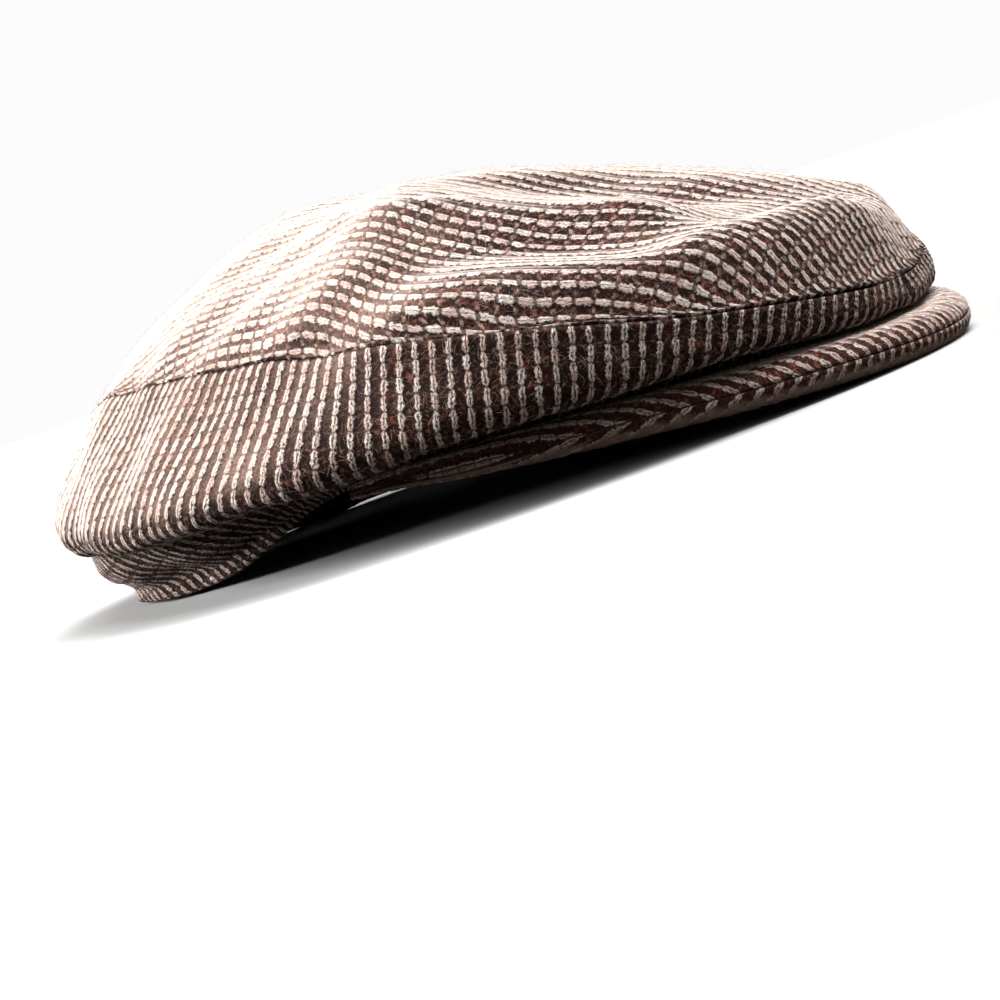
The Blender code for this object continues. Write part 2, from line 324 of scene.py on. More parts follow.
def side_points(angle, level):
    """The side panel's middle surface: for each plan angle, a curve up through its five rings."""
    rim = rim_height(angle)
    above = ("tuck", "bulge", "seam")
    heights = [SIDE_HEIGHT * side_value(ring + "_height", angle) for ring in above]
    reaches = [OVERHANG * side_value(ring + "_reach", angle) for ring in ("rim", "rim") + above]
    hem = np.minimum(rim + HEM_HEIGHT, (rim + heights[0]) / 2)
    reach = curve(SIDE_LEVELS, np.stack(reaches), level, free_ends=True)
    height = curve(SIDE_LEVELS, np.stack([rim, hem] + heights), level, free_ends=True)
    return plan_points(angle, head_reach(angle) + reach, height)


def fold_heights(across, along):
    """The folds' heights: each is a bell curve of the distance from a straight crease."""
    total = np.zeros_like(across)
    for row in FOLD_TABLE:
        fold = dict(zip(FOLD_COLUMNS, row))
        run_x, run_y = fold["to_x"] - fold["from_x"], fold["to_y"] - fold["from_y"]
        off_x, off_y = across - fold["from_x"], along - fold["from_y"]
        share = np.clip((off_x * run_x + off_y * run_y) / (run_x ** 2 + run_y ** 2), 0, 1)
        distance = np.hypot(off_x - share * run_x, off_y - share * run_y)
        total += fold["height"] * np.exp(-(distance / fold["half_width"]) ** 2)
    return FOLD_HEIGHT * total


def top_points(angle, share):
    """The top panel's middle surface: its seam shrunk towards the middle and raised by the table."""
    seam_height = SIDE_HEIGHT * side_value("seam_height", angle) + SEAM_GAP
    seam_reach = head_reach(angle) + OVERHANG * side_value("seam_reach", angle) - SEAM_GAP
    edge = plan_points(angle, seam_reach, seam_height)
    front = np.clip(np.cos(angle), 0, None) ** FRONT_FOCUS
    back = np.clip(-np.cos(angle), 0, None) ** BACK_FOCUS
    weights = {"front_rise": front, "back_rise": back, "side_rise": 1 - front - back}
    rise = sum(w * curve(TOP_TABLE[:, 0], TOP_TABLE[:, TOP_COLUMNS.index(n)], share)
               for n, w in weights.items())
    middle_y = HEAD_CENTRE_Y + CROWN_CENTRE_Y
    fade = smooth(0, FOLD_FADE, 1 - share)
    folds = fold_heights(-share * np.sin(angle), -share * np.cos(angle))
    height = seam_height + (CROWN_HEIGHT - seam_height) * rise + fade * folds
    return np.stack([edge[..., 0] * share, middle_y + (edge[..., 1] - middle_y) * share, height], axis=-1)


def unit(vectors):
    """Vectors brought to a length of one."""
    return vectors / np.maximum(np.linalg.norm(vectors, axis=-1, keepdims=True), 1e-9)


def normals_of(points):
    """Unit normals of a grid of points: the cross product of its two directions."""
    return unit(np.cross(np.gradient(points, axis=1), np.gradient(points, axis=0)))


def run_lengths(points, axis):
    """Lengths run along a grid of points from its first row or column."""
    steps = np.linalg.norm(np.diff(points, axis=axis), axis=-1)
    first = np.zeros_like(np.take(steps, [0], axis=axis))
    return np.concatenate([first, np.cumsum(steps, axis=axis)], axis=axis)


def rib_relief(across, along):
    """The weave's height: each rib is a pair of round threads, pinched where one dash ends."""
    rib = across / RIB_PITCH % 1 - 0.5
    joint = np.abs(along / DASH_PITCH % 1 - 0.5) - 0.5
    pinch = np.exp(-(joint / PINCH_HALF_LENGTH) ** 2)
    thread = np.exp(-((np.abs(rib) - THREAD_OFFSET) / THREAD_HALF_WIDTH) ** 2)
    dark = np.exp(-((np.abs(rib) - 0.5) / DARK_HALF_WIDTH) ** 2)
    return RIB_RELIEF * (thread * (1 - PINCH_SHARE * pinch) + dark * (DARK_SHARE + PINCH_RISE * pinch))


def soft_waves(points):
    """Slight unevenness of the cloth: a sum of slow plane waves, one for each row of the table."""
    return sum(height * np.sin(points @ np.array(run, float) + phase) for height, *run, phase in WAVE_TABLE)


def shell_mesh(name, outer, inner, cloth, painted_sheen, worn):
    """A closed piece from a fine outer grid and a coarser inner one, joined round their border.

    The next to last argument says how much sheen is painted pale into the colour at grazing angles,
    and the last how much of the nap lies worn below.
    """
    rows, columns = outer.shape[:2]
    fine = np.arange(rows * columns).reshape(rows, columns)
    few = inner[::INNER_STEP, ::INNER_STEP]
    coarse = fine.size + np.arange(few.shape[0] * few.shape[1]).reshape(few.shape[:2])
    faces = [quads(fine), quads(coarse)[:, ::-1]]
    border, lining = loop(fine), loop(coarse)
    start = INNER_STEP * np.arange(len(lining))[:, None]
    span = border[(start + np.arange(INNER_STEP, -1, -1)) % len(border)]
    faces.append(np.concatenate([span, lining[:, None], np.roll(lining, -1)[:, None]], axis=1))
    points = np.concatenate([outer.reshape(-1, 3), few.reshape(-1, 3)])
    repeats = np.concatenate([cloth.reshape(-1, 2), cloth[::INNER_STEP, ::INNER_STEP].reshape(-1, 2)])
    repeats = repeats / (RIB_PITCH, DASH_PITCH)
    mesh = bpy.data.meshes.new(name)
    mesh.from_pydata(points, [], [face for group in faces for face in group.tolist()])
    weave = mesh.uv_layers.new(name="weave")
    corners = np.concatenate([group.ravel() for group in faces])
    weave.data.foreach_set("uv", repeats[corners].astype(np.float32).ravel())
    mesh.update()
    mesh.shade_smooth()
    facing = np.empty(len(points) * 3)
    mesh.vertex_normals.foreach_get("vector", facing)
    facing = facing.reshape(-1, 3)
    values = {
        # Painted light: how far each point faces the key light, where its colour is painted paler.
        "painted_light_side": smooth(*PAINTED_LIGHT_RANGE, facing @ unit(np.array(PAINTED_LIGHT_WAY))),
        # Painted sheen: how much pale colour is painted in at grazing angles, fading before seams and
        # downwards.
        "painted_sheen": np.append(np.broadcast_to(painted_sheen, outer.shape[:2]).ravel(), np.zeros(few.size // 3))
        * smooth(*PAINTED_SHEEN_FACING, facing[:, 2]),
        "worn": worn * smooth(*WORN_FACING, -facing[:, 2]),
    }
    for key, value in values.items():
        layer = mesh.attributes.new(key, "FLOAT", "POINT")
        layer.data.foreach_set("value", value.astype(np.float32))
    piece = bpy.data.objects.new(name, mesh)
    piece["rows"], piece["columns"] = rows, columns
    bpy.context.scene.collection.objects.link(piece)
    return piece


def quads(index):
    """The four corners of each cell of a grid of indices."""
    corners = (index[:-1, :-1], index[:-1, 1:], index[1:, 1:], index[1:, :-1])
    return np.stack(corners, axis=-1).reshape(-1, 4)


def loop(index):
    """The border of a grid of indices, once round from its first corner."""
    return np.concatenate([index[0, :-1], index[:-1, -1], index[-1, :0:-1], index[:0:-1, 0]])


def seam_dip(distance):
    """How far cloth turns in at a seam: a quarter round over the last few millimetres."""
    s = np.clip(1 - distance / SEAM_DIP_WIDTH, 0, 1)
    return SEAM_DIP * (1 - np.sqrt(1 - s ** 2))


def dressed_shell(name, middle, cloth, to_edge, let_out):
    """A cloth panel: its middle surface, with the weave raised outside and a plain inside.

    let_out moves the outside's border along the cloth, so that the outsides meet at a seam.
    """
    normals = normals_of(middle)
    fade = smooth(0.0, RELIEF_FADE["panel"], to_edge)
    lift = fade * rib_relief(cloth[..., 0], cloth[..., 1]) + soft_waves(middle)
    dip = seam_dip(to_edge)
    thinning = SEAM_THINNING * np.clip(1 - to_edge / SEAM_DIP_WIDTH, 0, 1) ** 2
    outer = middle + normals * (WALL / 2 + lift - dip)[..., None] + let_out
    inner = middle + normals * (soft_waves(middle) - WALL / 2 + thinning)[..., None]
    return shell_mesh(name, outer, inner, cloth, smooth(*PAINTED_SHEEN_FROM_SEAM, to_edge), 0.0)


def grid_sizes(runs, steps):
    """How many points a grid takes each way, as whole inner cells and one point more."""
    return [INNER_STEP * round(run / step / INNER_STEP) + 1 for run, step in zip(runs, steps)]


def tuck_crease(plan, level):
    """The crease under the bulge at the back and the band that swells below it: two bell curves."""
    behind = smooth(*TUCK_PLAN_DEG[:2], plan) * (1 - smooth(*TUCK_PLAN_DEG[2:], plan))
    above = level - TUCK_LEVEL - TUCK_SWAY * np.sin(np.radians(plan * 3))
    crease = np.exp(-(above / TUCK_HALF_WIDTH) ** 2)
    swell = np.exp(-((above + SWELL_BELOW) / SWELL_HALF_WIDTH) ** 2)
    return behind * (SWELL_HEIGHT * swell - TUCK_DEPTH * crease)


def make_side_panel(name, hand, material):
    """One side panel, on a grid of plan angles and levels, with its ribs standing up the panel."""
    columns, rows = grid_sizes(SIDE_RUN, SIDE_STEPS)
    angle, level = np.linspace(0, np.pi, columns), np.linspace(1, 0, rows)
    middle = side_points(angle, level)
    normals = normals_of(middle)
    middle = middle + normals * tuck_crease(np.degrees(angle), level[:, None])[..., None]
    middle[..., 2] = np.maximum(middle[..., 2], WALL / 2)
    round_it = run_lengths(side_points(angle, np.array([SIDE_RIB_LEVEL])), axis=1)
    down = run_lengths(middle, axis=0)
    lean = SIDE_LEAN[0] + (SIDE_LEAN[1] - SIDE_LEAN[0]) * smooth(*SIDE_LEAN_RUN, round_it)
    behind = smooth(*TUCK_LEAN_PLAN_DEG, np.degrees(angle))
    tucked = TUCK_LEAN * behind * np.clip(down - TUCK_LEAN_FROM * down[-1], 0, None)
    cloth = np.stack([round_it + lean * down + tucked, down], axis=-1)
    edge = np.minimum(down, down[-1] - down)
    edge = np.minimum(edge, np.minimum(round_it, round_it[:, -1:] - round_it))
    middle[..., 0] = np.minimum(middle[..., 0], -SEAM_GAP / 2)
    if hand < 0:
        middle = middle[:, ::-1] * (-1, 1, 1)
        cloth, edge = cloth[:, ::-1], edge[:, ::-1]
    let_out = np.zeros_like(middle)
    let_out[0] = SEAM_LET_OUT["side"] * unit(middle[0] - middle[1])
    panel = dressed_shell(name, middle, cloth, edge, let_out)
    panel.data.materials.append(material)
    return panel


def disc(columns, rows):
    """A square grid pressed into a disc, as plan angles and shares of the reach."""
    across, along = np.meshgrid(np.linspace(-1, 1, columns), np.linspace(-1, 1, rows))
    x, y = across * np.sqrt(1 - along ** 2 / 2), along * np.sqrt(1 - across ** 2 / 2)
    return np.arctan2(-x, -y), np.minimum(np.hypot(x, y), 1.0)


def make_top_panel(name, material):
    """The top panel, on a square grid pressed into its oval, with its ribs running front to back."""
    angle, share = disc(*grid_sizes(TOP_RUN, TOP_STEPS))
    middle = top_points(angle, share)
    across = run_lengths(middle, axis=1)
    across = across - across[:, across.shape[1] // 2][:, None]
    along = run_lengths(middle, axis=0)
    along = along - along[along.shape[0] // 2]
    reach = np.hypot(middle[..., 0], middle[..., 1])
    edge = (1 - share) * reach / np.maximum(share, MIDDLE_SHARE)
    stations = np.clip(along, *TOP_GATHER_TABLE[[0, -1], 0])
    gather = curve(TOP_GATHER_TABLE[:, 0], TOP_GATHER_TABLE[:, 1], stations, free_ends=True)
    cloth = np.stack([across * gather, along], axis=-1)
    outward = unit(middle * (1, 1, 0) - (0, HEAD_CENTRE_Y, 0))
    let_out = SEAM_LET_OUT["top"] * outward * (share >= 1)[..., None]
    panel = dressed_shell(name, middle, cloth, edge, let_out)
    panel.data.materials.append(material)
    return panel


def peak_points(sweep, out):
    """The surface between the peak's covers: from its root it droops to its edge."""
    angle = np.radians(PEAK_END_DEG) * sweep
    edge = SIDE_HEIGHT * curve(PEAK_EDGE_TABLE[:, 0], PEAK_EDGE_TABLE[:, 1], np.abs(sweep))
    narrowing = np.cos(sweep * np.pi / 2)
    root = rim_height(angle) + PEAK_ROOT_RISE * narrowing
    reach = PEAK_END_REACH + PEAK_REACH * np.abs(narrowing) ** PEAK_ROUNDING
    start = head_reach(angle) + WALL / 2 + SEAM_GAP + COVER_GAP
    height = root + (edge - root) * out ** PEAK_DROOP
    return plan_points(angle, start + reach * out, height), reach * (1 - out)


def edge_normals(edge):
    """Level normals of the peak's edge, pointing outwards: its direction turned a quarter."""
    run = np.gradient(edge[..., :2], axis=-2)
    normals = unit(np.stack([-run[..., 1], run[..., 0]], axis=-1))
    outward = np.sign(np.sum(normals * (edge[..., :2] - (0, HEAD_CENTRE_Y)), axis=-1, keepdims=True))
    return normals * outward


def make_peak_cover(name, side, material):
    """One cover of the peak: level at the root, then a quarter round down to the edge seam.

    Its cloth is laid out flat by moving each point out along the edge's normal by the length of
    cloth that the rounding takes up, so the ribs of both covers meet in points along the seam.
    """
    columns, rows = grid_sizes(PEAK_RUN, PEAK_STEPS)
    sweep = np.linspace(-1, 1, columns)[None, :]
    out = (1 - (1 - np.linspace(0, 1, rows)) ** PEAK_CROWDING)[:, None]
    joint, to_edge = peak_points(sweep, out)
    ends = 1 - (1 - PEAK_END_SHARE) * np.abs(sweep) ** PEAK_END_TAPER
    thickness = COVER_THICKNESS[side] * ends
    turn = np.clip(1 - to_edge / np.minimum(COVER_ROUNDING, to_edge[:1]), 0, 1)
    rounding = np.sqrt(np.clip(1 - turn ** 2, 0, 1))
    body = COVER_ROOT_SHARE + (1 - COVER_ROOT_SHARE) * smooth(0, COVER_FULL_AT, out)
    lift = thickness * body * rounding
    outer = joint + np.stack([0 * lift, 0 * lift, side * (lift + COVER_GAP / 2)], axis=-1)
    level_run = np.linalg.norm(outer[..., :2] - outer[:1, :, :2], axis=-1)
    taken_up = run_lengths(outer, axis=0) - level_run
    cloth = outer[..., :2] + edge_normals(joint[-1:]) * taken_up[..., None]
    cloth = cloth / (PEAK_RIB_SHARE, 1)
    normals = normals_of(outer) * side
    fade = smooth(0.0, RELIEF_FADE["peak"], np.minimum(to_edge + lift, out * PEAK_REACH))
    outer = outer + normals * (fade * rib_relief(cloth[..., 0], cloth[..., 1]))[..., None]
    inner = joint + (0, 0, side * COVER_GAP / 2)
    if side < 0:
        outer, inner, cloth = outer[:, ::-1], inner[:, ::-1], cloth[:, ::-1]
    cover = shell_mesh(name, outer, inner, cloth, PEAK_PAINTED_SHEEN, float(side < 0))
    cover.data.materials.append(material)
    return cover


def fibre_tubes(roots, normals, seed):
    """Loose fibres: each is a three-sided tube from its root, bent at its middle, to a fine tip."""
    rng = np.random.default_rng(seed)
    count = len(roots)
    lean = rng.normal(size=(count, 3))
    lean = unit(lean - normals * np.sum(lean * normals, axis=1, keepdims=True))
    across = np.cross(normals, lean)
    length = rng.uniform(*FIBRE_LENGTH, size=(count, 1))
    stand = rng.uniform(*FIBRE_STAND, size=(count, 1))
    curl = rng.uniform(-FIBRE_CURL, FIBRE_CURL, size=(count, 1))
    bend = roots + length * 0.5 * (lean + normals * stand)
    tip = bend + length * 0.5 * (lean + across * curl + normals * stand * rng.uniform(-1, 1, (count, 1)))
    turns = np.radians([0, 120, 240])[None, :, None]
    ring = FIBRE_RADIUS * (np.cos(turns) * across[:, None] + np.sin(turns) * normals[:, None])
    points = np.concatenate([roots[:, None] + ring, bend[:, None] + ring, tip[:, None]], axis=1)
    points[..., 2] = np.maximum(points[..., 2], FIBRE_RADIUS)
    first = points.shape[1] * np.arange(count)[:, None, None]
    walls = np.array([(0, 1, 4, 3), (1, 2, 5, 4), (2, 0, 3, 5)])[None] + first
    ends = np.array([(0, 2, 1), (3, 4, 6), (4, 5, 6), (5, 3, 6)])[None] + first
    return points.reshape(-1, 3), walls.reshape(-1, 4), ends.reshape(-1, 3)


def make_fibres(name, cloths, count, material):
    """A set of fibres, rooted at random places on the outside of the cloth pieces.

    The length of its name seeds its draws, so two sets with names of unlike length differ.
    """
    rng = np.random.default_rng(len(name))
    places, outward = [], []
    for cloth in cloths:
        polygons = cloth.data.polygons
        centres = np.empty(len(polygons) * 3)
        normals, areas = np.empty_like(centres), np.empty(len(polygons))
        polygons.foreach_get("center", centres)
        polygons.foreach_get("normal", normals)
        polygons.foreach_get("area", areas)
        outside = np.arange(len(polygons)) < (cloth["rows"] - 1) * (cloth["columns"] - 1)
        chance = areas * outside
        taken = round(NAP_SHARES[cloth.name] * count)
        chosen = rng.choice(len(polygons), size=taken, p=chance / chance.sum())
        places.append(centres.reshape(-1, 3)[chosen])
        outward.append(normals.reshape(-1, 3)[chosen])
    points, walls, ends = fibre_tubes(np.concatenate(places), np.concatenate(outward), len(name))
    mesh = bpy.data.meshes.new(name)
    mesh.from_pydata(points, [], walls.tolist() + ends.tolist())
    mesh.update()
    piece = bpy.data.objects.new(name, mesh)
    bpy.context.scene.collection.objects.link(piece)
    piece.data.materials.append(material)
    return piece


def new_node(tree, kind, **inputs):
    """Adds a node of a kind and sets or links its inputs by name or number."""
    node = tree.nodes.new("ShaderNode" + kind)
    for key, value in inputs.pop("props", {}).items():
        setattr(node, key, value)
    for key, value in inputs.items():
        socket = node.inputs[int(key[1:]) if key[1:].isdigit() else key.replace("_", " ")]
        if isinstance(value, bpy.types.NodeSocket):
            tree.links.new(value, socket)
        else:
            socket.default_value = value
    return node


def math(tree, operation, a, b=0.0, c=0.0):
    """A Math node's result."""
    return new_node(tree, "Math", i0=a, i1=b, i2=c, props={"operation": operation}).outputs[0]


def ramp(tree, value, low, high, out_low=0.0, out_high=1.0):
    """A smooth Map Range from low..high to out_low..out_high."""
    return new_node(tree, "MapRange", Value=value, From_Min=low, From_Max=high, To_Min=out_low,
                    To_Max=out_high, props={"interpolation_type": "SMOOTHSTEP"}).outputs[0]


def mix(tree, share, a, b):
    """A Mix node's colour: a where the share is 0 and b where it is 1."""
    node = tree.nodes.new("ShaderNodeMix")
    node.data_type = "RGBA"
    for socket, value in zip((node.inputs[0], node.inputs[6], node.inputs[7]), (share, a, b)):
        if isinstance(value, bpy.types.NodeSocket):
            tree.links.new(value, socket)
        else:
            socket.default_value = value
    return node.outputs[2]


def noise(tree, vector, kind, output="Fac"):
    """A noise of one of the kinds in the table."""
    scale, detail, roughness = NOISES[kind]
    return new_node(tree, "TexNoise", Vector=vector, Scale=scale, Detail=detail,
                    Roughness=roughness).outputs[output]


def wobble(tree, place, kind):
    """A noise vector around nought."""
    return new_node(tree, "VectorMath", i0=noise(tree, place, kind, "Color"), i1=(0.5, 0.5, 0.5),
                    props={"operation": "SUBTRACT"}).outputs[0]


def moved(tree, vector, by, sizes):
    """A vector moved by another one times its sizes."""
    return new_node(tree, "VectorMath", i0=by, i1=sizes, i2=vector,
                    props={"operation": "MULTIPLY_ADD"}).outputs[0]


def attribute(tree, name):
    """A value that the piece's mesh holds for each point."""
    return new_node(tree, "Attribute", props={"attribute_name": name}).outputs["Fac"]


def make_nap_material():
    """Loose fibres: pale wool, with a shade for each that is drawn from its place."""
    material = bpy.data.materials.new("nap")
    material.use_nodes = True
    tree = material.node_tree
    shader = tree.nodes["Principled BSDF"]
    place = new_node(tree, "TexCoord").outputs["Object"]
    shade = ramp(tree, noise(tree, place, "fibre shades"), 0.38, 0.62)
    colour = mix(tree, shade, BROWN_FLEECE, FLEECE)
    tree.links.new(colour, shader.inputs["Base Color"])
    shader.inputs["Roughness"].default_value = 0.8
    shader.inputs["Sheen Weight"].default_value = 0.4
    return material


def weave_masks(tree, weave, lit_side, spread, width, gap):
    """The weave's masks, by name, from its map: u counts ribs and v counts dashes.

    light is 1 on the cream threads, joint between two dashes and twin between a pair's threads.
    off_rib is the distance from a rib's middle, ragged and strands are noises that run with the
    weave, and cell is a random value for each dash.
    """
    split = new_node(tree, "SeparateXYZ", Vector=weave["wavy"])
    across, along = split.outputs[0], split.outputs[1]
    rib_number = math(tree, "FLOOR", across)
    rib_noise = new_node(tree, "TexWhiteNoise", W=rib_number, props={"noise_dimensions": "1D"}).outputs[0]
    stagger = math(tree, "MULTIPLY_ADD", rib_noise, DASH_STAGGER, along)
    cell = new_node(tree, "CombineXYZ", i0=rib_number, i1=math(tree, "FLOOR", stagger)).outputs[0]
    ragged = noise(tree, weave["plain"], "thread edges")
    rough = math(tree, "SUBTRACT", ragged, 0.5)
    off_dash = math(tree, "ABSOLUTE", math(tree, "SUBTRACT", math(tree, "FRACT", stagger), 0.5))
    rib = math(tree, "SUBTRACT", math(tree, "FRACT", across), 0.5)
    sway = math(tree, "SUBTRACT", noise(tree, weave["plain"], "thread sway"), 0.5)
    off_rib = math(tree, "ABSOLUTE", math(tree, "MULTIPLY_ADD", sway, RIB_SWAY, rib))
    thread_place = ramp(tree, off_dash, 0.26, 0.50, spread, 0.3 * spread)
    off_thread = math(tree, "ABSOLUTE", math(tree, "SUBTRACT", off_rib, thread_place))
    # Painted light: the cream threads are painted wider, so paler, where the cloth faces the key light.
    thickness = ramp(tree, lit_side, 0.0, 1.0, width, 2.1 * width)
    rough_width = math(tree, "MULTIPLY_ADD", rough, 0.26, thickness)
    stretched = new_node(tree, "Mapping", Vector=weave["plain"], Scale=STRAND_STRETCH).outputs[0]
    return {
        "light": ramp(tree, math(tree, "SUBTRACT", rough_width, off_thread), -0.05, 0.045),
        "joint": ramp(tree, math(tree, "MULTIPLY_ADD", rough, 0.15, off_dash), 0.5 - gap, 0.57 - gap),
        "twin": ramp(tree, off_rib, 0.0, 0.05, 0.5, 0.0),
        "off_rib": off_rib,
        "ragged": ragged,
        "strands": noise(tree, stretched, "thread strands"),
        "cell": new_node(tree, "TexWhiteNoise", Vector=cell).outputs[0],
    }


def light_wool(tree, place, masks, umber):
    """The cream threads: a shade for each dash, dark between the strands, the pair and the dashes."""
    shade = mix(tree, masks["cell"], BLUSH, CREAM)
    shade = mix(tree, ramp(tree, masks["strands"], 0.34, 0.60, 0.75, 0.0), shade, umber)
    between = math(tree, "MAXIMUM", masks["twin"], math(tree, "MULTIPLY", masks["joint"], 0.88))
    shade = mix(tree, between, shade, umber)
    speckle = ramp(tree, noise(tree, place, "speckles"), 0.42, 0.62, 0.0, 0.30)
    return mix(tree, speckle, shade, BROWN_FLEECE)


def dark_wool(tree, place, masks, crossing, umber, russet):
    """The dark ribs: umber with patches of russet flecks, crossing threads and loose fleece."""
    fleck = ramp(tree, noise(tree, place, "russet flecks"), 0.52, 0.66)
    tint = ramp(tree, noise(tree, place, "russet patches"), 0.36, 0.58)
    dark = mix(tree, math(tree, "MULTIPLY", fleck, tint), umber, russet)
    crossed = math(tree, "MULTIPLY", ramp(tree, masks["off_rib"], 0.26, 0.40, 0.0, crossing), masks["joint"])
    crossed = math(tree, "MULTIPLY", crossed, ramp(tree, masks["ragged"], 0.38, 0.58, 0.2, 1.0))
    crossed = math(tree, "MULTIPLY", crossed, ramp(tree, masks["cell"], 0.0, 0.9, 0.2, 1.0))
    dark = mix(tree, crossed, dark, FLEECE)
    return mix(tree, masks["fluff"], dark, FLEECE)


def loose_fleece(tree, place, slow, lit_side):
    """Fine hairs in patches: the edges of a warped cell pattern, painted thicker as painted light
    where the cloth faces the key light.
    """
    warped = moved(tree, place, slow, HAIR_SHIFT)
    hairs = new_node(tree, "TexVoronoi", Vector=warped, Scale=HAIR_SCALE, Randomness=1.0,
                     props={"feature": "DISTANCE_TO_EDGE"}).outputs[0]
    patchy = ramp(tree, noise(tree, place, "hair patches"), 0.42, 0.66, 0.0, 0.65)
    # Painted light: more pale hairs where the cloth faces the key light.
    patchy = math(tree, "MULTIPLY", patchy, ramp(tree, lit_side, 0.0, 1.0, 0.4, 1.0))
    return math(tree, "MULTIPLY", ramp(tree, hairs, 0.0, 0.05, 1.0, 0.0), patchy)


def with_painted_light_and_wear(tree, place, colour, lit_side, ragged):
    """Over the weave: patches painted paler where the cloth faces the key light, as painted light,
    a worn band below and a sheen painted pale into the colour at grazing angles.
    """
    # Painted light: paler fleece patches where the cloth faces the key light.
    wide = ramp(tree, noise(tree, place, "painted light patches"), 0.35, 0.65, 0.5, 1.2)
    painted_paling = math(tree, "MULTIPLY", math(tree, "MULTIPLY", lit_side, wide),
                   ramp(tree, ragged, 0.30, 0.60, 0.08, 0.45))
    worn = math(tree, "MULTIPLY", attribute(tree, "worn"), ramp(tree, ragged, 0.30, 0.60, 0.55, 1.0))
    # Painted sheen: a pale colour mixed into the colour at grazing angles.
    facing = new_node(tree, "LayerWeight", Blend=0.5).outputs["Facing"]
    painted_sheen = math(tree, "MULTIPLY", ramp(tree, facing, 0.55, 0.95, 0.0, 0.95),
                  ramp(tree, ragged, 0.30, 0.60, 0.6, 1.0))
    painted_sheen = math(tree, "MULTIPLY", painted_sheen, attribute(tree, "painted_sheen"))
    colour = mix(tree, painted_paling, colour, FLEECE)
    colour = mix(tree, worn, colour, FLEECE)
    return mix(tree, painted_sheen, colour, PAINTED_SHEEN_COLOUR)


def make_tweed(name, spread, width, gap, crossing, umber, russet):
    """Tweed on the weave map: cream dashes in ribs, dark ribs between them and a loose nap, partly painted
    light.

    Two noises move the map, so that the threads are wavy and their edges fuzzy.
    """
    material = bpy.data.materials.new(name)
    material.use_nodes = True
    tree = material.node_tree
    tree.nodes.clear()
    place = new_node(tree, "TexCoord").outputs["Object"]
    plain = new_node(tree, "UVMap", props={"uv_map": "weave"}).outputs[0]
    slow = wobble(tree, place, "waves")
    wavy = moved(tree, plain, slow, WAVE_SHIFT)
    wavy = moved(tree, wavy, wobble(tree, place, "fuzz"), FUZZ_SHIFT)
    # Painted light: how far the cloth faces the key light, where it is painted paler.
    lit_side = attribute(tree, "painted_light_side")
    masks = weave_masks(tree, {"plain": plain, "wavy": wavy}, lit_side, spread, width, gap)
    masks["fluff"] = loose_fleece(tree, place, slow, lit_side)
    dark = dark_wool(tree, place, masks, crossing, umber, russet)
    colour = mix(tree, masks["light"], dark, light_wool(tree, place, masks, umber))
    colour = with_painted_light_and_wear(tree, place, colour, lit_side, masks["ragged"])
    height = 0.0
    for mask, share in BUMP_SHARES.items():
        height = math(tree, "MULTIPLY_ADD", masks[mask], share, height)
    bump = new_node(tree, "Bump", Height=height, Strength=0.9, Distance=BUMP_HEIGHT).outputs[0]
    shader = new_node(tree, "BsdfPrincipled", Base_Color=colour, Roughness=0.95, Normal=bump)
    shader.inputs["Specular IOR Level"].default_value = 0.04
    shader.inputs["Sheen Weight"].default_value = 0.03
    shader.inputs["Sheen Roughness"].default_value = 0.5
    shader.inputs["Sheen Tint"].default_value = (0.85, 0.74, 0.68, 1)
    output = tree.nodes.new("ShaderNodeOutputMaterial")
    tree.links.new(shader.outputs[0], output.inputs["Surface"])
    return material


def make_floor():
    """A plain pale floor."""
    material = bpy.data.materials.new("pale floor")
    material.use_nodes = True
    tree = material.node_tree
    tree.nodes.clear()
    pale = new_node(tree, "BsdfDiffuse", Color=FLOOR_SEEN)
    dim = new_node(tree, "BsdfDiffuse", Color=FLOOR_DIM)
    seen = new_node(tree, "LightPath").outputs["Is Camera Ray"]
    both = new_node(tree, "MixShader", i0=seen, i1=dim.outputs[0], i2=pale.outputs[0])
    tree.links.new(both.outputs[0], new_node(tree, "OutputMaterial").inputs["Surface"])
    mesh = bpy.data.meshes.new("floor")
    corners = FLOOR_HALF_SIDE * np.array([(-1, -1, 0), (1, -1, 0), (1, 1, 0), (-1, 1, 0)])
    mesh.from_pydata(corners, [], [(0, 1, 2, 3)])
    mesh.materials.append(material)
    floor = bpy.data.objects.new("floor", mesh)
    bpy.context.scene.collection.objects.link(floor)


def away_from(azimuth, elevation):
    """The direction from the cap towards an azimuth and an elevation in degrees."""
    azimuth, elevation = np.radians(azimuth), np.radians(elevation)
    return Vector((np.sin(azimuth) * np.cos(elevation), -np.cos(azimuth) * np.cos(elevation),
                   np.sin(elevation)))


def make_sun(name, azimuth, elevation, softness, strength):
    """A wide even light from an azimuth and an elevation, softened by its angle."""
    light = bpy.data.lights.new(name, "SUN")
    light.angle, light.energy = np.radians(softness), strength
    lamp = bpy.data.objects.new(name, light)
    lamp.rotation_euler = away_from(azimuth, elevation).to_track_quat("Z", "Y").to_euler()
    bpy.context.scene.collection.objects.link(lamp)


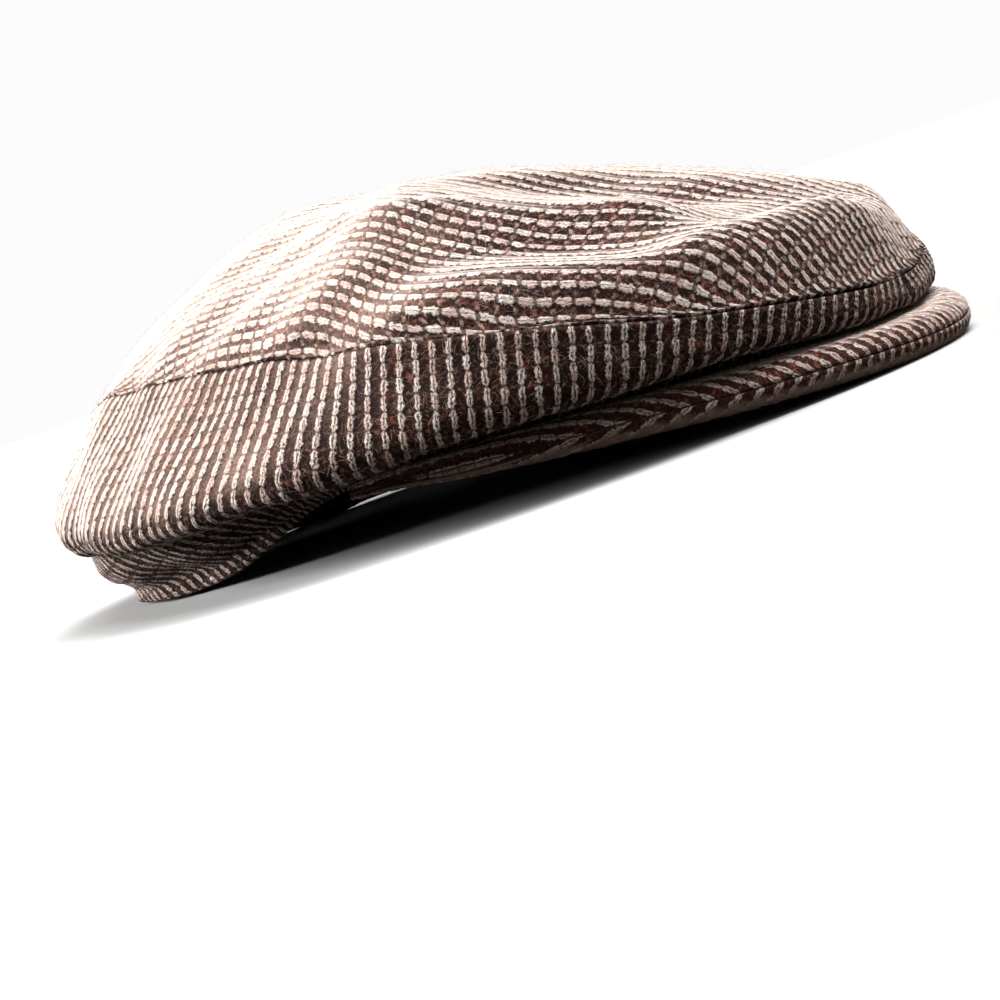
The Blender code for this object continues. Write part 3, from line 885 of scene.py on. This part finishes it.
def make_camera():
    """The camera, rolled as in the photograph and looking at the middle of its frame."""
    azimuth, roll = np.radians(CAMERA_AZIMUTH), np.radians(CAMERA_ROLL)
    back = away_from(CAMERA_AZIMUTH, CAMERA_ELEVATION)
    level = Vector((np.cos(azimuth), np.sin(azimuth), 0))
    upright = back.cross(level)
    right = level * np.cos(roll) - upright * np.sin(roll)
    up = level * np.sin(roll) + upright * np.cos(roll)
    place = Vector(CAMERA_AIM) + back * CAMERA_DISTANCE
    middle = (Vector(CAMERA_AIM) + right * ((FRAME_SIDE / 2 - AIM_PIXEL[0]) / PIXELS_PER_METRE)
              - up * ((FRAME_SIDE / 2 - AIM_PIXEL[1]) / PIXELS_PER_METRE))
    turned_back = (place - middle).normalized()
    turned_right = (right - turned_back * right.dot(turned_back)).normalized()
    turned_up = turned_back.cross(turned_right)
    camera = bpy.data.objects.new("camera", bpy.data.cameras.new("camera"))
    camera.matrix_world = Matrix.Translation(place) @ Matrix(
        (turned_right, turned_up, turned_back)).transposed().to_4x4()
    camera.data.sensor_width = SENSOR
    camera.data.lens = SENSOR * PIXELS_PER_METRE * CAMERA_DISTANCE / FRAME_SIDE
    camera.data.clip_start = 0.01
    bpy.context.scene.collection.objects.link(camera)
    bpy.context.scene.camera = camera


def make_stage():
    """The floor, the soft lights, and a pale surround that looks brighter than it lights."""
    make_floor()
    for name, row in SUN_TABLE.items():
        make_sun(name, *row)
    world = bpy.data.worlds.new("surround")
    world.use_nodes = True
    tree = world.node_tree
    dim = tree.nodes["Background"]
    dim.inputs[0].default_value = SURROUND_COLOUR
    dim.inputs[1].default_value = SURROUND_DIM
    pale = new_node(tree, "Background", i0=SURROUND_COLOUR, i1=SURROUND_SEEN)
    seen = new_node(tree, "LightPath").outputs["Is Camera Ray"]
    both = new_node(tree, "MixShader", i0=seen, i1=dim.outputs[0], i2=pale.outputs[0])
    tree.links.new(both.outputs[0], tree.nodes["World Output"].inputs["Surface"])
    bpy.context.scene.world = world
    bpy.context.scene.view_settings.view_transform = "Standard"


def dress(piece, node):
    """Puts a piece in a node's place, on the cap's one body."""
    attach(piece, "root")
    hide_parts(node)


make_camera()
make_stage()
top_tweed, side_tweed, peak_tweed = (make_tweed(name, **looks) for name, looks in TWEEDS.items())
cloths = {
    "top_panel": make_top_panel("top_cloth", top_tweed),
    "side_panel_right": make_side_panel("side_cloth_right", 1, side_tweed),
    "side_panel_left": make_side_panel("side_cloth_left", -1, side_tweed),
    "peak_top": make_peak_cover("peak_cloth_top", 1, peak_tweed),
    "peak_under": make_peak_cover("peak_cloth_under", -1, peak_tweed),
}
for node, cloth in cloths.items():
    dress(cloth, node)
nap_material = make_nap_material()
for name in ("nap_fibres_long", "nap_fibres_short"):
    nap = make_fibres(name, cloths.values(), FIBRE_COUNT, nap_material)
    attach(nap, "root")
